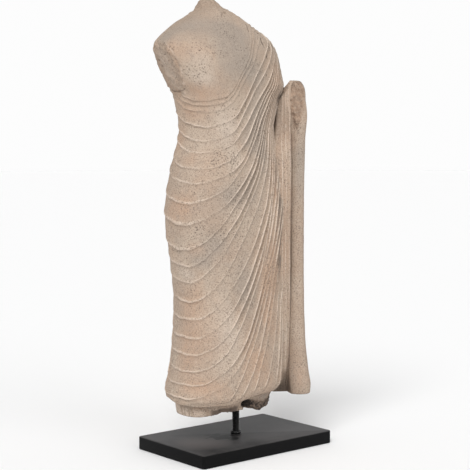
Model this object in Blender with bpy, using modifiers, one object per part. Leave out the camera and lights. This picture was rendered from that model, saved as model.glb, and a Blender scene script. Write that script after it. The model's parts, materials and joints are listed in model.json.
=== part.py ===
"""Draped standing torso, headless and armless, on a rod, a small collar and a flat plate.

Metres, +Z up.  The figure faces -Y and its left side is +X.  The plate's underside is z = 0.
Angles round the figure are in degrees from its front, growing toward its left side.
"""
import math

import bmesh
import bpy
import numpy as np

# plate, rod and collar
PLATE_LENGTH = 0.260
PLATE_WIDTH = 0.165
PLATE_THICK = 0.020
PLATE_ROUND = 0.0030
PLATE_EASE = 0.0010
ROD_RADIUS = 0.0060
ROD_SHOWING = 0.0420
COLLAR_WALL = 0.0023
COLLAR_HEIGHT = 0.0050
GAP = 0.0003

# the figure, from its lowest foot to the break of its neck; the heights and widths below it are its
# own proportions, written for this height with its lowest foot 62 mm up
FIGURE_HEIGHT = 0.6345
OWN_FOOT = 0.0620
OWN_TOP = 0.6965
SOCKET_Z = 0.0670
SKIRT_MID = (-0.0215, 0.004)
SKIRT_HALF = (0.0850, 0.0515)
SKIRT_BLUNT = 2.2
BODY_BLUNT = 2.3
FOLD_DEPTH = 0.0019
HEM_ROLL = 0.0016

# the body's outline by height: height, middle x, middle y, right half, left half, front half, back half
BODY = np.array([
    (0.060, -0.024, 0.004, 0.0900, 0.0840, 0.060, 0.052),
    (0.075, -0.024, 0.004, 0.0950, 0.0930, 0.064, 0.056),
    (0.090, -0.024, 0.004, 0.0985, 0.1060, 0.067, 0.060),
    (0.120, -0.024, 0.004, 0.0900, 0.1165, 0.065, 0.057),
    (0.170, -0.024, 0.004, 0.0822, 0.1180, 0.063, 0.052),
    (0.230, -0.024, 0.004, 0.0797, 0.1160, 0.061, 0.050),
    (0.300, -0.024, 0.002, 0.0895, 0.1140, 0.061, 0.055),
    (0.370, -0.024, 0.000, 0.1005, 0.1100, 0.060, 0.061),
    (0.430, -0.025, 0.000, 0.0915, 0.1000, 0.057, 0.055),
    (0.500, -0.026, 0.002, 0.0715, 0.0920, 0.054, 0.046),
    (0.545, -0.028, 0.005, 0.0775, 0.1080, 0.055, 0.046),
    (0.570, -0.031, 0.008, 0.0905, 0.1250, 0.056, 0.048),
    (0.605, -0.034, 0.011, 0.1085, 0.1212, 0.055, 0.049),
    (0.621, -0.036, 0.012, 0.1050, 0.1185, 0.052, 0.047),
    (0.636, -0.037, 0.013, 0.0915, 0.1105, 0.047, 0.043),
    (0.648, -0.037, 0.015, 0.0755, 0.0930, 0.042, 0.038),
    (0.659, -0.037, 0.016, 0.0600, 0.0755, 0.037, 0.034),
    (0.668, -0.036, 0.017, 0.0440, 0.0570, 0.033, 0.030),
    (0.677, -0.036, 0.018, 0.0285, 0.0360, 0.029, 0.026),
    (0.682, -0.039, 0.018, 0.0205, 0.0235, 0.0220, 0.0205),
    (0.6865, -0.041, 0.018, 0.0168, 0.0180, 0.0182, 0.0178),
    (0.691, -0.042, 0.018, 0.0142, 0.0140, 0.0152, 0.0150),
    (0.6945, -0.042, 0.018, 0.0112, 0.0105, 0.0120, 0.0120),
    (OWN_TOP, -0.042, 0.018, 0.0060, 0.0055, 0.0064, 0.0064),
])

# robe folds from the neckline down: ridge height at its lowest on the right, at the front,
# at 30 degrees, at 60 degrees and at the left side, then how strongly it is carved
FOLDS = [
    (0.538, 0.575, 0.650, 0.6610, 0.6640, 0.9),
    (0.531, 0.570, 0.643, 0.6570, 0.6600, 0.7),
    (0.522, 0.560, 0.633, 0.6530, 0.6560, 0.9),
    (0.500, 0.536, 0.612, 0.6480, 0.6510, 1.0),
    (0.478, 0.521, 0.593, 0.6420, 0.6450, 0.8),
    (0.461, 0.501, 0.570, 0.6320, 0.6380, 0.9),
    (0.437, 0.479, 0.556, 0.6400, 0.6500, 0.9),
    (0.416, 0.460, 0.546, 0.6320, 0.6430, 0.8),
    (0.387, 0.453, 0.532, 0.6240, 0.6360, 1.0),
    (0.356, 0.429, 0.515, 0.6160, 0.6290, 1.0),
    (0.317, 0.418, 0.504, 0.6080, 0.6220, 1.1),
    (0.292, 0.398, 0.495, 0.6000, 0.6150, 0.8),
    (0.268, 0.383, 0.485, 0.5920, 0.6080, 0.8),
    (0.238, 0.350, 0.464, 0.5840, 0.6010, 0.9),
    (0.211, 0.303, 0.438, 0.5760, 0.5940, 0.9),
    (0.183, 0.269, 0.415, 0.5670, 0.5860, 1.0),
    (0.158, 0.245, 0.390, 0.5570, 0.5780, 1.0),
    (0.133, 0.223, 0.362, 0.5460, 0.5690, 1.0),
    (0.113, 0.185, 0.331, 0.5340, 0.5590, 1.1),
    (0.094, 0.166, 0.306, 0.5210, 0.5480, 0.7),
    (0.060, 0.146, 0.283, 0.5070, 0.5360, 1.0),
    (0.040, 0.085, 0.216, 0.4700, 0.5060, 1.0),
    (0.020, 0.040, 0.080, 0.4000, 0.4400, 0.9),
]
# where round the figure a fold hangs lowest, by the height of that lowest place
LOW_HEIGHTS = [0.02, 0.10, 0.20, 0.30, 0.44, 0.54]
LOW_ANGLES = [-58, -58, -63, -67, -53, -47]
SIDE_RISE_HEIGHTS = [0.13, 0.22, 0.30, 0.55]
SIDE_RISES = [0.006, 0.010, 0.021, 0.019]
# one fold's section, ridge to next ridge: share of the way down, height in fold depths
LIP = [(0.00, 0.95), (0.13, -0.70), (0.55, 0.05)]

# the robe's lower edge and the inner skirt's broken foot: angle, height
HEM = [(-180, 0.0880), (-104, 0.0905), (-76, 0.0835), (-50, 0.0822), (-24, 0.0820), (-4, 0.0888),
       (10, 0.0918), (34, 0.0940), (48, 0.0985), (60, 0.1080), (74, 0.1150), (92, 0.1120), (125, 0.0960), (180, 0.0880)]
FOOT = [(-180, 0.0660), (-102, 0.0635), (-60, 0.0620), (-34, 0.0655), (-4, 0.0690), (6, 0.0695),
        (28, 0.0625), (44, 0.0635), (60, 0.0680), (90, 0.0670), (180, 0.0660)]

# flat breaks: a point on the break and the way it faces
SHOULDER_BREAK = ((-0.1380, 0.0100, 0.6207), (-0.896, 0.136, -0.423))
ARM_BREAK = ((0.0945, -0.0500, 0.5180), (-0.300, -0.880, 0.360))

# the hanging sleeve by height: front roll x, y, radius; crevice x, y; inner cloth's start x, y;
# its end x, y; outer side x, y; back corner x, y
SLEEVE = np.array([
    (0.078, 0.0972, -0.0431, 0.0157, 0.0910, -0.0226, 0.0693, -0.0058, 0.0839, -0.0153, 0.1060, -0.0150, 0.0960, 0.0300),
    (0.095, 0.0969, -0.0427, 0.0172, 0.0887, -0.0246, 0.0680, -0.0099, 0.0825, -0.0207, 0.1060, -0.0140, 0.0960, 0.0300),
    (0.108, 0.0962, -0.0420, 0.0164, 0.0840, -0.0298, 0.0589, -0.0232, 0.0785, -0.0291, 0.1055, -0.0130, 0.0960, 0.0297),
    (0.120, 0.0955, -0.0412, 0.0156, 0.0812, -0.0327, 0.0480, -0.0362, 0.0736, -0.0374, 0.1050, -0.0120, 0.0960, 0.0295),
    (0.160, 0.0935, -0.0410, 0.0129, 0.0813, -0.0353, 0.0480, -0.0375, 0.0744, -0.0394, 0.1040, -0.0100, 0.0960, 0.0290),
    (0.300, 0.0915, -0.0430, 0.0098, 0.0825, -0.0377, 0.0472, -0.0408, 0.0759, -0.0419, 0.1030, -0.0080, 0.0950, 0.0280),
    (0.400, 0.0917, -0.0434, 0.0095, 0.0825, -0.0390, 0.0417, -0.0401, 0.0766, -0.0425, 0.1030, -0.0080, 0.0940, 0.0270),
    (0.450, 0.0925, -0.0437, 0.0095, 0.0831, -0.0388, 0.0475, -0.0319, 0.0773, -0.0418, 0.1030, -0.0080, 0.0930, 0.0270),
    (0.470, 0.0931, -0.0434, 0.0099, 0.0830, -0.0374, 0.0527, -0.0258, 0.0771, -0.0403, 0.1032, -0.0080, 0.0930, 0.0265),
    (0.490, 0.0937, -0.0431, 0.0102, 0.0826, -0.0364, 0.0612, -0.0192, 0.0773, -0.0385, 0.1035, -0.0080, 0.0930, 0.0260),
    (0.510, 0.0950, -0.0432, 0.0108, 0.0808, -0.0370, 0.0655, -0.0205, 0.0770, -0.0375, 0.1045, -0.0080, 0.0930, 0.0240),
    (0.528, 0.0962, -0.0410, 0.0122, 0.0800, -0.0385, 0.0670, -0.0205, 0.0765, -0.0370, 0.1050, -0.0080, 0.0930, 0.0200),
    (0.545, 0.0967, -0.0385, 0.0124, 0.0805, -0.0380, 0.0705, -0.0200, 0.0770, -0.0350, 0.1045, -0.0100, 0.0920, 0.0120),
    (0.559, 0.0985, -0.0370, 0.0125, 0.0830, -0.0360, 0.0760, -0.0230, 0.0805, -0.0330, 0.1040, -0.0150, 0.0920, 0.0000),
    (0.570, 0.0990, -0.0362, 0.0125, 0.0860, -0.0350, 0.0830, -0.0270, 0.0850, -0.0320, 0.1030, -0.0220, 0.0935, -0.0150),
    (0.5765, 0.0990, -0.0355, 0.0095, 0.0905, -0.0340, 0.0885, -0.0290, 0.0895, -0.0320, 0.1005, -0.0260, 0.0950, -0.0220),
])
SLEEVE_ROLL_ANGLES = (172, 205, 240, 275, 315, 355)
SLEEVE_FOLDS = (0.10, 0.26, 0.40, 0.58, 0.72, 0.86)
SLEEVE_FOLD_DEPTH = 0.0012

# how finely the figure is cut into facets
BODY_ANGLES = np.concatenate([np.arange(-105.0, 0.0, 7.5), np.arange(0.0, 75.0, 5.0), np.arange(75.0, 255.0, 13.85)])
CHEST_ROWS = 9
SLEEVE_POINTS = 34
SLEEVE_HEIGHTS = (0.0805, 0.088, 0.10, 0.12, 0.16, 0.23, 0.30, 0.38, 0.43, 0.46, 0.485, 0.50, 0.512, 0.524,
                  0.536, 0.548, 0.558, 0.566, 0.572, 0.5762)


def smooth(x, xs, ys):
    """The even curve through the points xs, ys, level beyond its two ends."""
    xs = np.asarray(xs, float)
    ys = np.asarray(ys, float)
    x = np.clip(x, xs[0], xs[-1])
    span = np.diff(xs)
    rise = np.diff(ys) / span
    tilt = np.zeros(len(xs))
    tilt[0] = rise[0]
    tilt[-1] = rise[-1]
    for i in range(1, len(xs) - 1):
        if rise[i - 1] * rise[i] > 0:
            w1 = 2 * span[i] + span[i - 1]
            w2 = span[i] + 2 * span[i - 1]
            tilt[i] = (w1 + w2) / (w1 / rise[i - 1] + w2 / rise[i])
    i = np.clip(np.searchsorted(xs, x, side="right") - 1, 0, len(xs) - 2)
    t = (x - xs[i]) / span[i]
    return ((1 + 2 * t) * (1 - t) ** 2 * ys[i] + t * (1 - t) ** 2 * span[i] * tilt[i]
            + t * t * (3 - 2 * t) * ys[i + 1] + t * t * (t - 1) * span[i] * tilt[i + 1])


def ramp(x, low, high):
    """0 below low, 1 above high, eased between."""
    t = np.clip((x - low) / (high - low), 0, 1)
    return t * t * (3 - 2 * t)


def turn(angle):
    """The same angle between -180 and 180."""
    return (angle + 180) % 360 - 180


def blunt_circle(angle, power):
    """Across and forward parts of a circle with fuller corners."""
    s = np.sin(np.radians(angle))
    c = np.cos(np.radians(angle))
    r = (np.abs(s) ** power + np.abs(c) ** power) ** (-1 / power)
    return s * r, c * r


def ring(angle, z):
    """Points of the plain body at an angle and a height."""
    mid_x, mid_y, right, left, front, back = (smooth(z, BODY[:, 0], BODY[:, k]) for k in range(1, 7))
    s, c = blunt_circle(angle, BODY_BLUNT)
    x = mid_x + (right + left) / 2 * s + (left - right) / 2 * s * s
    y = mid_y - (front + back) / 2 * c + (back - front) / 2 * c * c
    return np.stack([x, y, z + 0 * angle], axis=-1)


# the way up the body's side, so that rows keep an even step over the shoulders
SIDE_Z = np.linspace(BODY[0, 0], OWN_TOP, 1274)
SIDE_HALF = (smooth(SIDE_Z, BODY[:, 0], BODY[:, 3]) + smooth(SIDE_Z, BODY[:, 0], BODY[:, 4])) / 2
SIDE_WAY = np.concatenate([[0], np.cumsum(np.hypot(np.diff(SIDE_Z), 0.7 * np.diff(SIDE_HALF)))])


def way_at(z):
    return np.interp(z, SIDE_Z, SIDE_WAY)


def z_at(way):
    return np.interp(way, SIDE_WAY, SIDE_Z)


def fold_curve(fold, angle):
    """Height of one fold's ridge all round: low on the right, high on the left, plainer behind."""
    low, front, at_30, at_60, side, _ = fold
    a = float(smooth(low, LOW_HEIGHTS, LOW_ANGLES))
    lift = side - low
    rise = float(np.interp(low, SIDE_RISE_HEIGHTS, SIDE_RISES))
    angles = [a - 60, a - 32, a, a + 30, 0, 30, 60, 90, 135, 180, 215, a + 300, a + 328, a + 360]
    heights = [low + rise, low + 0.3 * rise, low, low + 0.22 * (front - low), front, at_30, at_60,
               side, low + 0.80 * lift, low + 0.50 * lift, low + 0.22 * lift, low + rise,
               low + 0.3 * rise, low]
    return smooth(np.where(angle < a - 55, angle + 360, angle), angles, heights)


def eased(curve):
    """A closed curve made to flow by averaging each place with its neighbours."""
    for _ in range(3):
        curve = np.mean([np.roll(curve, j) for j in range(-5, 6)], axis=0)
    return curve


EVERY_DEGREE = np.arange(-180.0, 180.0)
FOLD_LINES = [eased(fold_curve(fold, EVERY_DEGREE)) for fold in FOLDS]


def fold_z(k, angle):
    line = FOLD_LINES[k]
    return np.interp(turn(angle), np.append(EVERY_DEGREE, 180.0), np.append(line, line[0]))


def hem_z(angle):
    a = turn(angle)
    return smooth(a, [p[0] for p in HEM], [p[1] for p in HEM]) + 0.0006 * np.sin(np.radians(9 * a))


def foot_z(angle):
    a = turn(angle)
    rough = ramp(a, -55, -30) * (1 - ramp(a, 60, 90))
    teeth = 0.0009 * np.sin(np.radians(11 * a + 20)) + 0.0006 * np.sin(np.radians(23 * a))
    return smooth(a, [p[0] for p in FOOT], [p[1] for p in FOOT]) + rough * teeth


def uneven(points, size):
    """A slow uneven swell between -1 and 1."""
    x, y, z = (points[..., i] / size for i in range(3))
    return (np.sin(x + 2.1 * np.sin(0.8 * y + 0.3) + 0.7 * z)
            + np.sin(1.3 * y - 1.7 * np.sin(0.9 * z + 1.1) + 0.5 * x)
            + np.sin(1.1 * z + 1.9 * np.sin(0.7 * x + 2.0) - 0.6 * y)) / 3


def swell(angle, z, at, up, wide, tall):
    """A soft round rise, 1 at its middle."""
    return np.exp(-(turn(angle - at) / wide) ** 2 - ((z - up) / tall) ** 2)


def cut_flat(points, place, way, where, roughness):
    """Points beyond a break brought back onto it, a little rough."""
    way = np.array(way) / np.linalg.norm(way)
    beyond = np.clip(((points - np.array(place)) * way).sum(-1), 0, None) * where
    rough = roughness * uneven(points, 0.006)
    return points - way * (beyond - np.where(beyond > 0.0015, rough, 0))[..., None]


def body_rows(angle):
    """Rows of points from the neck's top down over the folds to the middle of the underside."""
    rows = []
    carve = []
    first = way_at(fold_z(0, angle))
    top = way_at(OWN_TOP)
    for i in range(CHEST_ROWS):
        rows.append(z_at(first + (top - first) * (1 - i / CHEST_ROWS)))
        carve.append(0 * angle)
    rim = hem_z(angle)
    for k, fold in enumerate(FOLDS):
        here = fold_z(k, angle)
        below = fold_z(k + 1, angle) if k + 1 < len(FOLDS) else here - 0.03
        upper = way_at(np.maximum(here, rim))
        lower = way_at(np.maximum(below, rim))
        arc = np.linalg.norm(ring(angle + 0.5, here) - ring(angle - 0.5, here), axis=-1)
        slope = (fold_z(k, angle + 1) - fold_z(k, angle - 1)) / 2 / np.maximum(arc, 1e-4)
        room = (upper - lower) / np.sqrt(1 + slope ** 2)
        strength = fold[5]
        for share, lift in LIP:
            z = np.maximum(z_at(upper + (lower - upper) * share), rim)
            depth = FOLD_DEPTH * strength * np.clip(room / 0.010, 0, 1)
            rows.append(z)
            carve.append(lift * depth * ramp(z - rim, 0.0005, 0.006))
    rows.append(rim)
    carve.append(0 * angle)
    z = np.array(rows)
    out = np.array(carve)
    angles = np.broadcast_to(angle, z.shape)
    points = ring(angles, z)
    along = ring(angles + 0.25, z) - ring(angles - 0.25, z)
    upward = ring(angles, z + 0.0005) - ring(angles, z - 0.0005)
    normal = np.cross(along, upward)
    normal /= np.maximum(np.linalg.norm(normal, axis=-1, keepdims=True), 1e-12)
    # the breast, the left breast under the robe, the right thigh and the belly
    out = out + 0.0045 * swell(angles, z, -38, 0.582, 26, 0.026) + 0.0020 * swell(angles, z, 8, 0.600, 22, 0.022)
    out = out + 0.0025 * swell(angles, z, -62, 0.330, 26, 0.070) + 0.0020 * swell(angles, z, 8, 0.430, 34, 0.060)
    points = points + normal * out[..., None]
    points = cut_flat(points, *SHOULDER_BREAK, ramp(z, 0.535, 0.550), 0.0010)
    grid = [row for row in points]
    # the hem rolls under, then the inner skirt's wall goes down to its broken foot
    edge = grid[-1]
    wall = skirt_row(angle, 0.0, rim + 0.001)
    under = edge - np.array([0, 0, HEM_ROLL])
    grid.append(under * 0.90 + wall * 0.10 - np.array([0, 0, 0.0006]))
    grid.append(under * 0.45 + wall * 0.55)
    foot = foot_z(angle)
    broken = ramp(turn(angle), -62, -40) * (1 - ramp(turn(angle), 70, 100))
    for share in (0.0, 0.45, 1.0):
        z = rim + 0.001 - (rim + 0.001 - foot) * share
        row = skirt_row(angle, 0.0025 * share ** 2 + broken * 0.004 * max(0, share - 0.45), z)
        hole = 0.010 * swell(angle, z, 1, 0.0795, 4.5, 0.0032)
        pleat = 0.0007 * np.sin(np.radians(7 * angle + 40))
        outward = row[:, :2] - np.array(SKIRT_MID)
        outward /= np.linalg.norm(outward, axis=-1, keepdims=True)
        row[:, :2] += outward * (pleat - hole)[:, None]
        grid.append(row)
    # the slightly hollow underside, flat in the middle where the rod ends
    last = grid[-1]
    middle = np.array([*SKIRT_MID, 0.0])
    for draw in (0.12, 0.36, 0.70):
        deep = float(ramp(draw, 0.0, 0.40))
        row = last * (1 - draw) + middle * draw
        row[:, 2] = foot * (1 - deep) + SOCKET_Z * deep
        grid.append(row)
    return np.array(grid)


def skirt_row(angle, tuck, z, share=None):
    """A loop of the inner skirt, tucked in by a length or drawn in to a share of its size."""
    s, c = blunt_circle(angle, SKIRT_BLUNT)
    half_x = SKIRT_HALF[0] - tuck if share is None else SKIRT_HALF[0] * share
    half_y = SKIRT_HALF[1] - tuck if share is None else SKIRT_HALF[1] * share
    return np.stack([SKIRT_MID[0] + half_x * s, SKIRT_MID[1] - half_y * c, z + 0 * angle], axis=-1)


def sleeve_plan(z):
    """The sleeve's outline at a height, as a few places to pass through."""
    roll_x, roll_y, roll, dip_x, dip_y, in_x, in_y, end_x, end_y, out_x, out_y, back_x, back_y = (
        smooth(z, SLEEVE[:, 0], SLEEVE[:, k]) for k in range(1, 14))
    places = [((back_x + in_x) / 2 - 0.004, (back_y + in_y) / 2),
              (in_x, in_y),
              ((in_x + end_x) / 2 - 0.0004, (in_y + end_y) / 2 - 0.0004),
              (end_x, end_y),
              (dip_x, dip_y)]
    for degrees in SLEEVE_ROLL_ANGLES:
        w = math.radians(degrees)
        places.append((roll_x + roll * math.cos(w), roll_y + 1.12 * roll * math.sin(w)))
    # long folds down the outer side, alternately proud and sunk
    for i, share in enumerate(SLEEVE_FOLDS):
        bow = 4 * share * (1 - share)
        x = (1 - share) * (roll_x + 0.8 * roll) + share * back_x + bow * (out_x - (roll_x + 0.8 * roll + back_x) / 2)
        y = (1 - share) * (roll_y + 0.8 * roll) + share * (back_y - 0.004)
        x += (SLEEVE_FOLD_DEPTH if i % 2 else -SLEEVE_FOLD_DEPTH) * float(ramp(0.570 - z, 0.0, 0.060))
        places.append((x, y))
    places += [(back_x, back_y),
               (0.6 * back_x + 0.4 * in_x, 0.9 * back_y + 0.1 * in_y)]
    return np.array(places)


def closed_curve(places, count):
    """count points along the closed flowing curve through the places."""
    t = np.arange(count) * len(places) / count
    i = np.floor(t).astype(int)
    f = (t - i)[:, None]
    p0, p1, p2, p3 = (places[(i + j) % len(places)] for j in (-1, 0, 1, 2))
    return 0.5 * (2 * p1 + (p2 - p0) * f + (2 * p0 - 5 * p1 + 4 * p2 - p3) * f ** 2
                  + (3 * p1 - p0 - 3 * p2 + p3) * f ** 3)


def sleeve_rows():
    """Rows of points up the hanging sleeve to the broken forearm, its two ends rounded."""
    rows = []
    for z in SLEEVE_HEIGHTS:
        loop = closed_curve(sleeve_plan(z), SLEEVE_POINTS)
        rows.append(np.column_stack([loop, np.full(SLEEVE_POINTS, z)]))
    points = np.array(rows)
    points = cut_flat(points, *ARM_BREAK, ramp(points[..., 2], 0.505, 0.515), 0.0008)
    low = points[0]
    low_mid = low.mean(axis=0)
    high = points[-1]
    high_mid = high.mean(axis=0)
    foot = [low_mid + (low - low_mid) * f - np.array([0, 0, d]) for f, d in ((0.55, 0.0021), (0.93, 0.0016))]
    head = [high_mid + (high - high_mid) * f + np.array([0, 0, d]) for f, d in ((0.55, 0.0010),)]
    return np.concatenate([np.array(foot), points, np.array(head)])[::-1]


def set_up(grid):
    """The figure's own proportions brought to its height, above the plate by the rod that shows."""
    grid = grid.copy()
    share = FIGURE_HEIGHT / (OWN_TOP - OWN_FOOT)
    grid[..., :2] *= share
    grid[..., 2] = PLATE_THICK + ROD_SHOWING + (grid[..., 2] - OWN_FOOT) * share
    return grid


def collection(name):
    group = bpy.data.collections.new(name)
    bpy.context.scene.collection.children.link(group)
    return group


def place(obj, group):
    for old in list(obj.users_collection):
        old.objects.unlink(obj)
    group.objects.link(obj)


def material(name, colour, roughness, metallic=0.0):
    mat = bpy.data.materials.new(name)
    mat.use_nodes = True
    shader = mat.node_tree.nodes["Principled BSDF"]
    shader.inputs["Base Color"].default_value = (*colour, 1.0)
    shader.inputs["Roughness"].default_value = roughness
    shader.inputs["Metallic"].default_value = metallic
    return mat


def closed_grid(name, grid, group):
    """A closed body from looped rows, its two ends drawn together to their middles."""
    rows, count = grid.shape[:2]
    points = [tuple(p) for p in np.round(grid, 5).reshape(-1, 3)]
    points.append(tuple(grid[0].mean(axis=0)))
    points.append(tuple(grid[-1].mean(axis=0)))
    faces = []
    for i in range(rows - 1):
        for j in range(count):
            k = (j + 1) % count
            faces.append((i * count + j, (i + 1) * count + j, (i + 1) * count + k, i * count + k))
    for j in range(count):
        k = (j + 1) % count
        faces.append((rows * count, j, k))
        faces.append((rows * count + 1, (rows - 1) * count + k, (rows - 1) * count + j))
    mesh = bpy.data.meshes.new(name)
    mesh.from_pydata(points, [], faces)
    shape = bmesh.new()
    shape.from_mesh(mesh)
    bmesh.ops.remove_doubles(shape, verts=shape.verts, dist=0.00005)
    bmesh.ops.triangulate(shape, faces=shape.faces)
    bmesh.ops.recalc_face_normals(shape, faces=shape.faces)
    shape.to_mesh(mesh)
    shape.free()
    obj = bpy.data.objects.new(name, mesh)
    group.objects.link(obj)
    return obj


def add_modifier(obj, kind, **settings):
    mod = obj.modifiers.new(kind.title(), kind)
    for key, value in settings.items():
        setattr(mod, key, value)
    return mod


for old in list(bpy.data.objects):
    bpy.data.objects.remove(old)
parts = collection("draped torso")
cutters = collection("cutters")
cutters.hide_render = True

stone = material("sandy stone", (0.52, 0.42, 0.33), 0.9)
black = material("satin black plate", (0.012, 0.012, 0.013), 0.45)
rod_black = material("black rod", (0.010, 0.010, 0.010), 0.40)
collar_black = material("black collar", (0.010, 0.010, 0.010), 0.25)

# the figure: body and hanging sleeve grown together
figure = closed_grid("figure", set_up(body_rows(BODY_ANGLES)), parts)
sleeve = closed_grid("sleeve", set_up(sleeve_rows()), cutters)
sleeve.display_type = "WIRE"
sleeve.hide_render = True
add_modifier(figure, "BOOLEAN", operation="UNION", solver="EXACT", object=sleeve)
figure.data.materials.append(stone)

# the base plate, corners rounded and edges eased
bpy.ops.mesh.primitive_cube_add(size=1, location=(0, 0, PLATE_THICK / 2))
plate = bpy.context.object
plate.name = "base_plate"
plate.dimensions = (PLATE_LENGTH, PLATE_WIDTH, PLATE_THICK)
bpy.ops.object.transform_apply(location=True, rotation=True, scale=True)
shape = bmesh.new()
shape.from_mesh(plate.data)
upright = [e for e in shape.edges if abs(e.verts[0].co.z - e.verts[1].co.z) > PLATE_THICK / 2]
bmesh.ops.bevel(shape, geom=upright, offset=PLATE_ROUND, segments=4, profile=0.5, affect="EDGES")
shape.to_mesh(plate.data)
shape.free()
add_modifier(plate, "BEVEL", width=PLATE_EASE, segments=2, limit_method="ANGLE", angle_limit=math.radians(60))
plate.data.materials.append(black)
place(plate, parts)

# the rod, from just above the plate to the flat place under the figure
rod_foot = PLATE_THICK + GAP
rod_top = set_up(np.array([0.0, 0.0, SOCKET_Z]))[2] - GAP
bpy.ops.mesh.primitive_cylinder_add(vertices=40, radius=ROD_RADIUS, depth=rod_top - rod_foot,
                                    location=(0, 0, (rod_top + rod_foot) / 2))
rod = bpy.context.object
rod.name = "rod"
bpy.ops.object.transform_apply(location=True, rotation=True, scale=True)
rod.data.materials.append(rod_black)
place(rod, parts)

# the collar round the rod's foot, a low rounded ring
inner = ROD_RADIUS + GAP
wide = inner + COLLAR_WALL
floor = PLATE_THICK + GAP
profile = [(inner, 0.92), (inner + 0.25 * COLLAR_WALL, 1.0), (wide - 0.40 * COLLAR_WALL, 0.86),
           (wide - 0.10 * COLLAR_WALL, 0.55), (wide, 0.20), (wide - 0.10 * COLLAR_WALL, 0.0), (inner, 0.0)]
mesh = bpy.data.meshes.new("rod_collar")
mesh.from_pydata([(x, 0, floor + t * COLLAR_HEIGHT) for x, t in profile],
                 [(i, (i + 1) % len(profile)) for i in range(len(profile))], [])
collar = bpy.data.objects.new("rod_collar", mesh)
parts.objects.link(collar)
add_modifier(collar, "SCREW", axis="Z", angle=math.tau, steps=40, render_steps=40, use_merge_vertices=True,
             merge_threshold=0.00005, use_smooth_shade=False, use_normal_calculate=True)
collar.data.materials.append(collar_black)

for obj in (figure, rod, collar):
    bpy.ops.object.select_all(action="DESELECT")
    bpy.context.view_layer.objects.active = obj
    obj.select_set(True)
    for polygon in obj.data.polygons:
        polygon.use_smooth = True
figure.data.set_sharp_from_angle(angle=math.radians(35))
rod.data.set_sharp_from_angle(angle=math.radians(35))
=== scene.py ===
# %% [markdown]
# # A draped torso on a rod and a plate
#
# The real object is a decorative figure: a headless, armless torso in a thin robe, cast in a sandy
# stone-like mix, rubbed pale on its ridges and dark in its grooves. A black screw-threaded rod
# holds it over a flat satin-black plate. The imported model gives the frame. This lesson puts the fine
# carving and the finishes round it.

# %% Load the frame
import json
import math

import bmesh
import bpy
import numpy as np
from mathutils import Matrix, Vector, kdtree

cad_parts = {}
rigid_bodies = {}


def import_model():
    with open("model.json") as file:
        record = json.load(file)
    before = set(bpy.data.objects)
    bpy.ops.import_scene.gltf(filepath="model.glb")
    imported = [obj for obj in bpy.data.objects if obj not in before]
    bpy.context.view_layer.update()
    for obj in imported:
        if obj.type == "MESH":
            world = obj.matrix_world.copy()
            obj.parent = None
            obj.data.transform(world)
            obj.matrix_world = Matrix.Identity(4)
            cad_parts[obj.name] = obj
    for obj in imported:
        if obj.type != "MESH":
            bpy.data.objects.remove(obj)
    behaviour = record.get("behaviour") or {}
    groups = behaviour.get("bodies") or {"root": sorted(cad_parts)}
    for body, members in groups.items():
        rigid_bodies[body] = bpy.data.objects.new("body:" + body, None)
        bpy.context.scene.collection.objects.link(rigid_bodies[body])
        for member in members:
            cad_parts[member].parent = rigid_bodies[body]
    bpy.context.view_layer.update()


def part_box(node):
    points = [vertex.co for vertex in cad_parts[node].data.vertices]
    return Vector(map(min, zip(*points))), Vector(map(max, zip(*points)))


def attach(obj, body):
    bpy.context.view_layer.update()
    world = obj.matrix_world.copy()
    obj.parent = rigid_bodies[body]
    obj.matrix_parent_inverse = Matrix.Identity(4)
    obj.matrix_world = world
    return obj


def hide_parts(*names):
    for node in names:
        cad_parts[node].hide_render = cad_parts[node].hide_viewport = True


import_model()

# %% [markdown]
# The camera comes first, because every later choice is judged through it. It stands to the figure's
# right front, a little above the middle, far enough away that the plate's sides hardly draw together.

# %% Camera
PHOTO_SIDE = 470
SENSOR = 36.0
FOCAL_PIXELS = 1164.2
CAMERA_DISTANCE = 1.82
CAMERA_AZIMUTH = math.radians(-39.9)
CAMERA_HEIGHT_ANGLE = math.radians(3.5)
AIM = (-0.0011, 0.3336)


def away(azimuth, elevation):
    """The way from the object toward a place at this angle, 0 being straight in front."""
    return Vector((math.sin(azimuth) * math.cos(elevation), -math.cos(azimuth) * math.cos(elevation),
                   math.sin(elevation)))


def placed(name, data):
    """A new object in the scene."""
    made = bpy.data.objects.new(name, data)
    bpy.context.scene.collection.objects.link(made)
    return made


back = away(CAMERA_AZIMUTH, CAMERA_HEIGHT_ANGLE)
side = Vector((math.cos(CAMERA_AZIMUTH), math.sin(CAMERA_AZIMUTH), 0))
lens = bpy.data.cameras.new("camera")
lens.sensor_width = SENSOR
lens.lens = SENSOR * FOCAL_PIXELS / PHOTO_SIDE
camera = placed("camera", lens)
stand_at = side * AIM[0] + Vector((0, 0, AIM[1])) + back * CAMERA_DISTANCE
facing = Matrix((side, back.cross(side), back)).transposed().to_4x4()
camera.matrix_world = Matrix.Translation(stand_at) @ facing
bpy.context.scene.camera = camera
print("lens", round(lens.lens, 2), "mm")

# %% [markdown]
# The studio is plain: a pale floor and a white surround that is brightest low down. One large soft
# light stands high and a little left of the camera, a weaker one before the figure, and a faint one
# at its left. Soft lights leave the carving readable without hard shadows.

# %% Studio
SKY_LOW, SKY_HIGH = math.radians(16), math.radians(40)
GLOW_LOW, GLOW_HIGH = 0.98, 0.32
LAMP_HEIGHT = 0.35
bpy.ops.mesh.primitive_plane_add(size=120, location=(0, 0, -0.0005))
floor = bpy.context.object
floor.name = "floor"


def soft_sun(name, azimuth, elevation, strength, softness):
    """An even light from far off, its shadows as soft as a big lamp of this many degrees."""
    data = bpy.data.lights.new(name, "SUN")
    data.energy = strength
    data.angle = math.radians(softness)
    lamp = placed(name, data)
    toward = away(math.radians(azimuth), math.radians(elevation))
    lamp.location = Vector((0, 0, LAMP_HEIGHT)) + toward * 2
    lamp.rotation_euler = toward.to_track_quat("Z", "Y").to_euler()


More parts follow.
